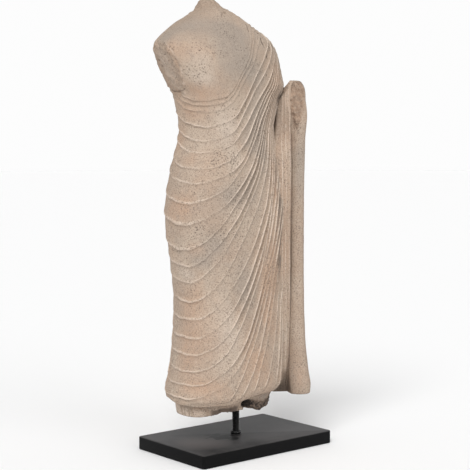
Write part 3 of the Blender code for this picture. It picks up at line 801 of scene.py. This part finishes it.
def skirt(angle, edge):
    """All rows below the hem, and their marks."""
    wall = skirt_row(angle, 0.0, hem_z(angle) + SKIRT_TOP)
    made = []
    for share, drop, ridge, broken, dark in UNDER_HEM:
        row = edge * (1 - share) + wall * share - np.array([0, 0, drop])
        made.append((row, plain_marks(angle, row, ridge, broken, dark)))
    made += [skirt_wall(angle, share) for share in np.linspace(0, 1, SKIRT_ROWS)]
    rim_row = made[-1][0]
    for draw in UNDERSIDE_SHARES:
        row = rim_row * (1 - draw) + np.array([*SKIRT_MID, 0.0]) * draw
        deep = ramp(draw, 0.0, 0.4)
        row[:, 2] = (foot_z(angle) * (1 - deep) + SOCKET_Z * deep
                     + (1 - ramp(draw, 0.5, 0.68)) * 0.001 * uneven(row, 0.0022))
        # the underside gets the break's brown, and painted shade through its low ridge mark
        made.append((row, plain_marks(angle, row, -0.6, 0.9)))
    return [np.array(kind) for kind in zip(*made)]


skirt_points, skirt_marks = skirt(BODY_ANGLES, robe_points[-1])
skin = np.concatenate([robe_points, skirt_points])
skin_marks = np.concatenate([robe_marks, skirt_marks])
print("body rows", skin.shape[0], "angles", skin.shape[1])

# %% [markdown]
# The robe also hangs from the left forearm as a long flat fall beside the skirt, open toward the
# viewer by a deep crevice, and ends above in the broken forearm. It is a second skin, one outline at
# each height, that is grown together with the body afterwards.

# %% Outline of the fall
# in millimetres: height; front roll's middle and radius; dip beside it; inner cloth's start and its
# end, each across and forward; how far across the outside bows; back corner
SLEEVE = metres([
    (78, 97.2, -43.1, 15.7, 91, -22.6, 69.3, -5.8, 83.9, -15.3, 106, 96, 30),
    (95, 96.9, -42.7, 17.2, 88.7, -24.6, 68, -9.9, 82.5, -20.7, 106, 96, 30),
    (108, 96.2, -42, 16.4, 84, -29.8, 58.9, -23.2, 78.5, -29.1, 105.5, 96, 29.7),
    (120, 95.5, -41.2, 15.6, 81.2, -32.7, 48, -36.2, 73.6, -37.4, 105, 96, 29.5),
    (160, 93.5, -41, 12.9, 81.3, -35.3, 48, -37.5, 74.4, -39.4, 104, 96, 29),
    (300, 91.5, -43, 9.8, 82.5, -37.7, 47.2, -40.8, 75.9, -41.9, 103, 95, 28),
    (400, 91.7, -43.4, 9.5, 82.5, -39, 41.7, -40.1, 76.6, -42.5, 103, 94, 27),
    (450, 92.5, -43.7, 9.5, 83.1, -38.8, 47.5, -31.9, 77.3, -41.8, 103, 93, 27),
    (470, 93.1, -43.4, 9.9, 83, -37.4, 52.7, -25.8, 77.1, -40.3, 103.2, 93, 26.5),
    (490, 93.7, -43.1, 10.2, 82.6, -36.4, 61.2, -19.2, 77.3, -38.5, 103.5, 93, 26),
    (510, 95, -43.2, 10.8, 80.8, -37, 65.5, -20.5, 77.4, -41.2, 104.5, 93, 24),
    (528, 96.2, -41, 12.2, 80, -38.5, 67, -20.5, 77.4, -42, 105, 93, 20),
    (545, 96.7, -38.5, 12.4, 80.5, -38, 70.5, -20, 78, -40.2, 104.5, 92, 12),
    (559, 99, -36.8, 12.2, 85.8, -35.5, 81.8, -25, 84.8, -35.2, 104, 93, 0),
    (570, 99.2, -36.2, 11.5, 88.5, -35, 88, -28.5, 88.5, -32.5, 103, 95, -15),
    (576.5, 100, -35.2, 8.2, 93.5, -34, 92.2, -29.5, 92.8, -32, 101, 96.5, -22),
])
ROLL_ANGLES = (172, 205, 240, 275, 315, 355)
ROLL_STRETCH = 1.12
ROLL_REACH = 0.8
# the outside's shallow folds, 0 being beside the roll and 1 at the back corner
OUTER_FOLDS = (0.1, 0.26, 0.4, 0.58, 0.72, 0.86)
OUTER_FOLD_DEPTH = 0.0012
OUTER_FOLDS_END = 0.57


def sleeve_plan(z):
    """The fall's outline at a height, as a few places to pass through."""
    roll_x, roll_y, roll, dip_x, dip_y, in_x, in_y, end_x, end_y, out_x, back_x, back_y = (
        smooth(z, SLEEVE[:, 0], column) for column in SLEEVE[:, 1:].T)
    places = [((back_x + in_x) / 2 - 0.004, (back_y + in_y) / 2), (in_x, in_y),
              ((in_x + end_x) / 2 - 0.0004, (in_y + end_y) / 2 - 0.0004), (end_x, end_y), (dip_x, dip_y)]
    for w in map(math.radians, ROLL_ANGLES):
        places.append((roll_x + roll * math.cos(w), roll_y + ROLL_STRETCH * roll * math.sin(w)))
    start_x, start_y = roll_x + ROLL_REACH * roll, roll_y + ROLL_REACH * roll
    shown = float(ramp(OUTER_FOLDS_END - z, 0.0, 0.06))
    for i, share in enumerate(OUTER_FOLDS):
        bow = 4 * share * (1 - share)
        x = (1 - share) * start_x + share * back_x + bow * (out_x - (start_x + back_x) / 2)
        y = (1 - share) * start_y + share * (back_y - 0.004)
        places.append((x + (OUTER_FOLD_DEPTH if i % 2 else -OUTER_FOLD_DEPTH) * shown, y))
    places += [(back_x, back_y), (0.6 * back_x + 0.4 * in_x, 0.9 * back_y + 0.1 * in_y)]
    return np.array(places)


print("fall levels", len(SLEEVE), "places", len(sleeve_plan(SLEEVE[0, 0])))

# %% [markdown]
# A flowing curve through those places makes each loop. Cords run down the inner cloth, and the forearm
# ends in a rough hollow shaped like a drop, its rim rubbed pale. Painted shade darkens the crevice, the
# inner cloth, its foot under the hem and the outer side of the front roll.

# %% Skin of the fall
SLEEVE_POINTS = 136
SLEEVE_HEIGHTS = np.concatenate([np.arange(0.0805, 0.1, 0.0025), np.arange(0.1, 0.5, 0.006),
                                 np.arange(0.5, 0.5765, 0.0015)])
# where each point of a loop lies, counted in places passed
PASSED = np.arange(SLEEVE_POINTS) * len(sleeve_plan(SLEEVE_HEIGHTS[0])) / SLEEVE_POINTS
INNER_CORDS = (0.0653, 0.0732, 0.079, 0.0848)
INNER_CORD_RISE = 0.0011
LINE_DEPTH = 0.0006
HOLLOW_DEPTH = 0.0024
# the hollow in the broken forearm: height, middle across the view, half width
DROP = np.array([(0.4984, 0.0945, 0.0035), (0.527, 0.0955, 0.0112), (0.5508, 0.0976, 0.0148),
                 (0.5666, 0.097, 0.015), (0.578, 0.097, 0.015)])
# loops that close the two ends: share of the end's outline, and how far past it
LOW_CAPS = ((0.3, 0.0024), (0.65, 0.0022), (0.9, 0.0018), (0.97, 0.0011))
TOP_CAPS = ((0.7, 0.0008), (0.35, 0.0011))


def closed_curve(places, passed):
    """Points along the closed flowing curve through the places."""
    i = np.floor(passed).astype(int)
    f = (passed - i)[:, None]
    p0, p1, p2, p3 = (places[(i + j) % len(places)] for j in (-1, 0, 1, 2))
    return 0.5 * (2 * p1 + (p2 - p0) * f + (2 * p0 - 5 * p1 + 4 * p2 - p3) * f ** 2
                  + (3 * p1 - p0 - 3 * p2 + p3) * f ** 3)


def sleeve_row(z):
    """One loop of the fall, and its marks."""
    t = PASSED
    loop = closed_curve(sleeve_plan(z), t)
    step = np.roll(loop, -1, axis=0) - np.roll(loop, 1, axis=0)
    normal = np.column_stack([step[:, 1], -step[:, 0]])
    normal /= np.maximum(np.linalg.norm(normal, axis=1, keepdims=True), 1e-9)
    # cords down the inner cloth and one shallow line beside the front roll's edge
    cloth = within(t, 0.9, 1.2, 4.0, 4.3)
    inner = cloth * cords_at(loop @ ACROSS, z, INNER_CORDS, 0.0006, (30, 900), 0.0012)
    line = hump(t, 9.3, 0.16) * ramp(0.2 - z, 0.0, 0.05)
    loop = loop + normal * (INNER_CORD_RISE * inner - LINE_DEPTH * line)[:, None]
    crevice = hump(t, 4.35, 0.3) * ramp(0.5 - z, 0.0, 0.01) * (0.55 + 0.45 * ramp(z, 0.42, 0.47))
    mark = np.zeros((len(t), len(MARK_NAMES)))
    # the inner cloth between the cords and the shallow line are marked low, for painted shade
    mark[:, RIDGE] = 1.2 * inner - 0.45 * cloth - 0.5 * line
    mark[:, NARROW] = 0.6
    # painted shade in the crevice, at the inner cloth's foot under the hem, and on the front roll's outer
    # side
    mark[:, SCAR_AND_SHADE] = (0.55 * crevice + 0.75 * cloth * (1 - ramp(z, 0.084, 0.112))
                     + 0.3 * within(t, 7.0, 8.6, 12.0, 13.0))
    mark[:, WARMTH] = hump(t, 2.2, 1.2) * hump(z, 0.33, 0.12)
    mark[:, COOLNESS] = hump(t, 7.0, 1.5) * hump(z, 0.44, 0.05) + 1.2 * within(t, 8.4, 9.6, 12.0, 13.0)
    return np.column_stack([loop, np.full(len(loop), z)]), mark


def hollow_forearm(points, marks):
    """Press the drop-shaped hollow into the forearm's end, and mark it."""
    z = points[..., 2]
    middle, half = (np.interp(z, DROP[:, 0], DROP[:, k]) for k in (1, 2))
    from_middle = (np.abs(points[..., :2] @ ACROSS - middle) / half
                   + 0.16 * uneven(points, 0.004, 1.0) + 0.12 * uneven(points, 0.0018))
    front = within(PASSED, 3.9, 4.6, 10.6, 11.4) * ramp(z, 0.494, 0.5)
    inside = front * (1 - ramp(from_middle, 0.55, 1.1))
    rough = 0.0014 * uneven(points, 0.0017) + 0.0009 * uneven(points, 0.0008, 2.0) - HOLLOW_DEPTH
    points[..., :2] += (inside * rough)[..., None] * TOWARD
    marks[..., BROKEN] = inside * np.clip(0.8 + 0.6 * uneven(points, 0.0026, 3.0), 0, 1)
    for kind, more in ((RIDGE, front * 0.45 * hump(from_middle, 1.22, 0.24)),
                       (SCAR_AND_SHADE, inside * np.clip(0.08 + 0.5 * uneven(points, 0.002, 5.0), 0, 0.35)),
                       (WARMTH, 1.5 * inside * hump(z, 0.545, 0.032))):
        marks[..., kind] = np.maximum(marks[..., kind], more)


def caps(loop, steps, way):
    """Loops that draw an end together, up or down from it."""
    middle = loop.mean(axis=0)
    return [middle + (loop - middle) * share + np.array([0, 0, way * past]) for share, past in steps]


def sleeve_skin():
    """The whole fall and its marks, from the top down."""
    points, marks = (np.array(kind) for kind in zip(*map(sleeve_row, SLEEVE_HEIGHTS)))
    drift = np.stack([uneven(points, 0.009), uneven(points, 0.008, 2.0), 0 * points[..., 2]], axis=-1)
    points = points + 0.0003 * drift
    points = cut_flat(points, *ARM_BREAK, ramp(points[..., 2], 0.505, 0.515), 0.0006, 0.002)[0]
    hollow_forearm(points, marks)
    grid = np.concatenate([caps(points[0], LOW_CAPS, -1), points, caps(points[-1], TOP_CAPS, 1)])
    marks = np.concatenate([np.repeat(marks[:1], len(LOW_CAPS), axis=0), marks,
                            np.repeat(marks[-1:], len(TOP_CAPS), axis=0)])
    return grid[::-1], marks[::-1]


sleeve, sleeve_marks = sleeve_skin()
print("sleeve rows", sleeve.shape[0], "points a row", sleeve.shape[1])

# %% [markdown]
# The two grids become closed meshes and a Boolean modifier grows them into one piece. The marks are
# then read back onto the joined skin from the nearest point of either grid.

# %% Grow the skins together
def closed_mesh(name, grid, merge):
    """A closed body from looped rows, its two ends drawn together to their middles."""
    rows, count = grid.shape[:2]
    points = [tuple(p) for p in np.round(grid, 5).reshape(-1, 3)]
    points.append(tuple(grid[0].mean(axis=0)))
    points.append(tuple(grid[-1].mean(axis=0)))
    last = (rows - 1) * count
    pairs = [(j, (j + 1) % count) for j in range(count)]
    faces = [(i + j, i + count + j, i + count + k, i + k) for i in range(0, last, count) for j, k in pairs]
    for j, k in pairs:
        faces += [(rows * count, j, k), (rows * count + 1, last + k, last + j)]
    mesh = bpy.data.meshes.new(name)
    mesh.from_pydata(points, [], faces)
    shape = bmesh.new()
    shape.from_mesh(mesh)
    bmesh.ops.remove_doubles(shape, verts=shape.verts, dist=merge)
    bmesh.ops.triangulate(shape, faces=shape.faces)
    bmesh.ops.recalc_face_normals(shape, faces=shape.faces)
    open_edges = sum(not e.is_manifold for e in shape.edges)
    print(name, "holds", round(shape.calc_volume(signed=True) * 1000, 3), "litres, open edges", open_edges)
    shape.to_mesh(mesh)
    shape.free()
    return placed(name, mesh)


def only(piece):
    """Make this piece the only one selected."""
    bpy.ops.object.select_all(action="DESELECT")
    bpy.context.view_layer.objects.active = piece
    piece.select_set(True)


figure = closed_mesh("stone_figure", skin, merge=0.00005)
fall = closed_mesh("fall", sleeve, merge=0.00001)
only(figure)
union = figure.modifiers.new("grow", "BOOLEAN")
union.operation = "UNION"
union.solver = "EXACT"
union.object = fall
bpy.ops.object.modifier_apply(modifier=union.name)
bpy.data.objects.remove(fall)

places = np.concatenate([skin.reshape(-1, 3), sleeve.reshape(-1, 3)])
values = np.concatenate([marks.reshape(-1, len(MARK_NAMES)) for marks in (skin_marks, sleeve_marks)])
tree = kdtree.KDTree(len(places))
for i, p in enumerate(places):
    tree.insert(p, i)
tree.balance()
nearest = np.array([tree.find(v.co)[1] for v in figure.data.vertices])
for column, name in enumerate(MARK_NAMES):
    attribute = figure.data.attributes.new(name, "FLOAT", "POINT")
    attribute.data.foreach_set("value", values[nearest, column].astype(np.float32))
figure.data.polygons.foreach_set("use_smooth", [True] * len(figure.data.polygons))
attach(figure, "root")
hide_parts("figure")
print("figure triangles", sum(len(p.vertices) - 2 for p in figure.data.polygons))

# %% [markdown]
# ## The stone finish
#
# The cast is a sandy beige. Pink-grey, ochre and cool grey patches drift over it, sand grains and tiny
# pits break it up, the ridges are rubbed to cream, and dark brown stays in the cracks and the breaks.
# Painted shade darkens the grooves, the step under each fold's lip and the crevices, and paints the hole
# nearly black.

# %% Stone finish
DARK_BEIGE, BEIGE = (0.374, 0.283, 0.215), (0.424, 0.336, 0.262)
OCHRE, COOL_GREY, PALE_SAND = (0.415, 0.275, 0.19), (0.318, 0.262, 0.214), (0.53, 0.445, 0.37)
CLOUD_GREY, BLOTCH = (0.31, 0.25, 0.205), (0.3, 0.24, 0.195)
# the groove and under-lip colours are painted shade
GROOVE_SHADE, UNDER_LIP_SHADOW, CREAM = (0.222, 0.178, 0.145), (0.265, 0.178, 0.122), (0.68, 0.56, 0.46)
BREAK_BROWN, BREAK_TAN = (0.225, 0.155, 0.11), (0.43, 0.33, 0.25)
# the two darkest colours paint cracks, and painted shade in the crevices and the hole
CRACK_AND_SHADE, DEEP_CRACK_AND_SHADE, PIT = (0.075, 0.052, 0.04), (0.014, 0.01, 0.008), (0.085, 0.06, 0.045)
DARK_GRAIN, PALE_GRAIN = (0.125, 0.092, 0.071), (0.66, 0.57, 0.48)
stone = Finish("sandy stone")
ridge, narrow, broken, scar_and_shade, warm, cool, pitted = (stone.read(name) for name in MARK_NAMES)
low = 0 - ridge
patches = stone.noise(13.0, 3.0, 0.6)
drift = stone.noise(21.0, 3.0, 0.6, stone.stretched((1.0, 1.0, 0.6)), 0.6)
cloud = stone.noise(70.0, 4.0, 0.65)
blotch = stone.noise(170.0, 3.0, 0.6)
grain = stone.noise(520.0, 3.0, 0.75)
sand = stone.noise(900.0, 2.0, 0.65)
stone.colour = stone.mix(patches.between(0.38, 0.62), DARK_BEIGE, BEIGE)
stone.paint(((drift - 0.5) * 2.3 + warm * 0.85).clear() * 0.72, OCHRE)
stone.paint((cool * 0.9 + (cloud - 0.45) * 0.8 * cool).clear(), COOL_GREY)
stone.paint((0 - cool).clear() * 0.75, PALE_SAND)
stone.paint(cloud.between(0.5, 0.72) * 0.35, CLOUD_GREY)
# painted shade in the hollows between crowded cords and on the inner cloth
stone.paint(narrow * low.between(0.0, 0.7) * 0.85, GROOVE_SHADE)
# painted shadow under each fold's lip, under the hem and on the underside
stone.paint((1 - narrow) * low.between(0.3, 0.66) * 0.42, UNDER_LIP_SHADOW)
worn = ridge.between(0.28, 0.78) * (
    cloud.between(0.36, 0.58) * 0.35 + 0.4 + blotch.between(0.36, 0.56) * 0.25)
stone.paint((worn * (0.42 + patches * 0.4 + narrow * 0.22)).clear(), CREAM)
stone.paint((broken * (0.55 + blotch * 0.6)).clear(), BREAK_BROWN)
stone.paint(broken * blotch.between(0.5, 0.6) * 0.4, BREAK_TAN)
# dark brown for cracks and chips, and painted shade in the crevices, under the left arm, in the channels,
# under the hem and in the hole
stone.paint(scar_and_shade.between(0.15, 0.95) * 0.85, CRACK_AND_SHADE)
# nearly black where that mark is strongest: painted shade in the hole, the darkest crack, and spots on the
# torn skirt
stone.paint(scar_and_shade.between(0.9, 1.0) * 0.95, DEEP_CRACK_AND_SHADE)
lit = (1 - scar_and_shade).clear()
stone.paint((blotch - 0.5).between(0.0, 0.14) * lit * 0.22, BLOTCH)
coarse = 1 - stone.axes()[2].between(0.46, 0.56) * 0.45
stone.paint(grain.between(0.535, 0.635) * coarse * 0.78, DARK_GRAIN)
stone.paint((1 - grain).between(0.56, 0.68) * coarse * lit * 0.34, PALE_GRAIN)
pits = stone.node("ShaderNodeTexVoronoi", {"feature": "F1"}, {"Vector": stone.place, "Scale": 260.0})
often = (stone.noise(26.0, 2.0).between(0.46, 0.6) * 0.8 + pitted + narrow * low * 0.6).clear()
pit = (1 - Value(stone, pits.outputs["Distance"]).between(0.14, 0.36)) * often
stone.paint(pit * (0.35 + cloud * 0.6), PIT)
normal = stone.bump(grain * 0.6 + sand * 0.9 + blotch * 0.8 * broken - pit * 1.5, 0.0005, 0.8)
stone.finish(figure, Base_Color=stone.colour, Roughness=0.88 + grain * 0.1, Normal=normal)
print("stone nodes", len(stone.tree.nodes))

# %% [markdown]
# ## The stand
#
# The plate is a board painted satin black, its corners and edges eased by sanding. A cube of the right
# size gets two bevels: a wide one on the four upright edges, then a narrow one all round.

# %% Plate
# radius and steps of the upright corners, and of the edges all round
CORNER, CORNER_STEPS = 0.0045, 6
EDGE, EDGE_STEPS = 0.0014, 3


def size_and_middle(least, most):
    least, most = Vector(least), Vector(most)
    return most - least, (least + most) / 2


size, middle = size_and_middle(*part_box("base_plate"))
bpy.ops.mesh.primitive_cube_add(size=1, location=middle)
plate = bpy.context.object
plate.name = "board"
plate.scale = size
bpy.ops.object.transform_apply(location=True, rotation=False, scale=True)
shape = bmesh.new()
shape.from_mesh(plate.data)
for radius, steps, rises in ((CORNER, CORNER_STEPS, True), (EDGE, EDGE_STEPS, False)):
    edges = [e for e in shape.edges if (abs(e.verts[0].co.z - e.verts[1].co.z) > size.z / 2) == rises]
    bmesh.ops.bevel(shape, geom=edges, offset=radius, segments=steps, affect="EDGES", profile=0.5)
shape.to_mesh(plate.data)
shape.free()
only(plate)
bpy.ops.object.shade_smooth_by_angle(angle=math.radians(35))
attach(plate, "root")
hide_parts("base_plate")
print("plate", tuple(round(v, 4) for v in size), "m, faces", len(plate.data.polygons))

# %% [markdown]
# The rod is ordinary threaded bar. Its skin is a tube of rings whose radius rises and falls once every
# pitch, and the rise climbs with the angle, so the crest is one true screw line.

# %% Rod
PITCH = 0.0021
THREAD_DEPTH = 0.0009
RINGS_PER_PITCH = 6
DEGREES_APART = 7.5
END_LENGTH = 0.0012
END_TAPER = 0.0006
size, middle = size_and_middle(*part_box("rod"))
turns = np.arange(0, 360, DEGREES_APART)
levels = np.linspace(middle.z - size.z / 2, middle.z + size.z / 2, int(size.z / PITCH * RINGS_PER_PITCH))
phase = (levels[:, None] / PITCH - turns[None] / 360) % 1
ends = ramp(np.abs(levels - middle.z), size.z / 2 - END_LENGTH, size.z / 2)[:, None]
radius = size.x / 2 - THREAD_DEPTH * (1 - ramp(np.abs(phase - 0.5), 0.08, 0.42)) - END_TAPER * ends
tube = np.stack([middle.x + radius * np.cos(np.radians(turns)), middle.y + radius * np.sin(np.radians(turns)),
                 np.broadcast_to(levels[:, None], radius.shape)], axis=-1)
screw = closed_mesh("screw_rod", tube, merge=0.000001)
only(screw)
bpy.ops.object.shade_smooth()
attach(screw, "root")
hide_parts("rod")

# %% [markdown]
# The collar is a blob of black paint and filler round the rod's foot. A ring stands in for it, and its
# points are pushed in and out unevenly until it looks poured, not turned.

# %% Collar
RING = 0.00115
LUMP_IN = 0.0004
LEAN_IN = 0.0005
SAG = 0.002
size, middle = size_and_middle(*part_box("rod_collar"))
bpy.ops.mesh.primitive_torus_add(major_radius=size.x / 2 - RING, minor_radius=RING, major_segments=72,
                                 minor_segments=20, location=middle)
collar = bpy.context.object
collar.name = "collar"
collar.scale.z = size.z / 2 / RING
bpy.ops.object.transform_apply(location=True, rotation=False, scale=True)
for v in collar.data.vertices:
    out = Vector((v.co.x - middle.x, v.co.y - middle.y, 0))
    turned = math.atan2(out.y, out.x)
    lump = 0.5 + 0.5 * math.sin(5 * turned + 1.0) * math.sin(3 * turned + v.co.z * 900)
    outer = max(0.0, (out.length - (size.x / 2 - RING)) / RING)
    height = (v.co.z - middle.z) / size.z + 0.5
    v.co -= out.normalized() * outer * (LUMP_IN * lump + LEAN_IN * height)
    v.co.z -= max(0.0, height - 0.5) * SAG * lump
only(collar)
bpy.ops.object.shade_smooth()
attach(collar, "root")
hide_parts("rod_collar")
print("collar points", len(collar.data.vertices))

# %% [markdown]
# One black paint covers the stand. It is nearly black on the sides. The plate's top is a dusty grey
# that also stands for its satin sheen, with a paler patch of painted sheen and dark smudges where
# paint ran out from the collar. Rod and collar keep a wetter shine.

# %% Stand finishes
BLACK, DUST_AND_SHEEN = (0.004, 0.004, 0.0042), (0.068, 0.065, 0.065)
PAINTED_SHEEN, SMUDGE = (0.105, 0.09, 0.086), (0.009,) * 3
WET, WET_PALE = (0.003,) * 3, (0.01,) * 3
satin = Finish("satin black")
x, y, z = satin.axes()


def squared_from(left, front):
    """Squared distance from a place this far left and in front of the plate's middle."""
    return (x + left) * (x + left) + (y + front) * (y + front)


mottle = satin.noise(14.0, 4.0, 0.6)
speck = satin.noise(700.0, 2.0, 0.6)
on_top = z.between(0.0185, 0.0199)
# the top alone is painted lighter, for dust and for the satin top's sheen together
dust_and_sheen = on_top * (0.75 + (mottle - 0.5) * 2.2) * (0.94 + speck * 0.12)
near = squared_from(0.034, 0.006) * 700
sheen = (1 - squared_from(0.08, 0.016) * 420).clear() * on_top
smudge = (satin.noise(62.0, 2.0, 0.5) - near * 0.4).between(0.34, 0.48) * on_top
satin.colour = satin.mix(dust_and_sheen.clear(), BLACK, DUST_AND_SHEEN)
# a patch of painted sheen on the top
satin.paint(sheen * 0.62, PAINTED_SHEEN)
satin.paint(smudge * 0.85, SMUDGE)
satin.shader.inputs["Specular IOR Level"].default_value = 0.07
satin_normal = satin.bump(speck * 0.5 + satin.noise(160.0) * 0.5, 0.00008, 0.6)
satin.finish(plate, Base_Color=satin.colour, Roughness=0.36 + mottle * 0.16 + speck * 0.06,
             Normal=satin_normal)

wet = Finish("wet black")
drip = wet.noise(330.0, 2.0, 0.5)
wet.shader.inputs["Specular IOR Level"].default_value = 0.32
wet.finish(screw, collar, Base_Color=wet.mix(drip, WET, WET_PALE), Roughness=0.1 + drip * 0.25,
           Normal=wet.bump(drip, 0.0006, 0.7))
for name in ("base_plate", "rod", "rod_collar"):
    for slot in bpy.data.objects[name].material_slots:
        slot.material = satin.material if name == "base_plate" else wet.material
print("stand finishes", len(satin.tree.nodes), len(wet.tree.nodes))
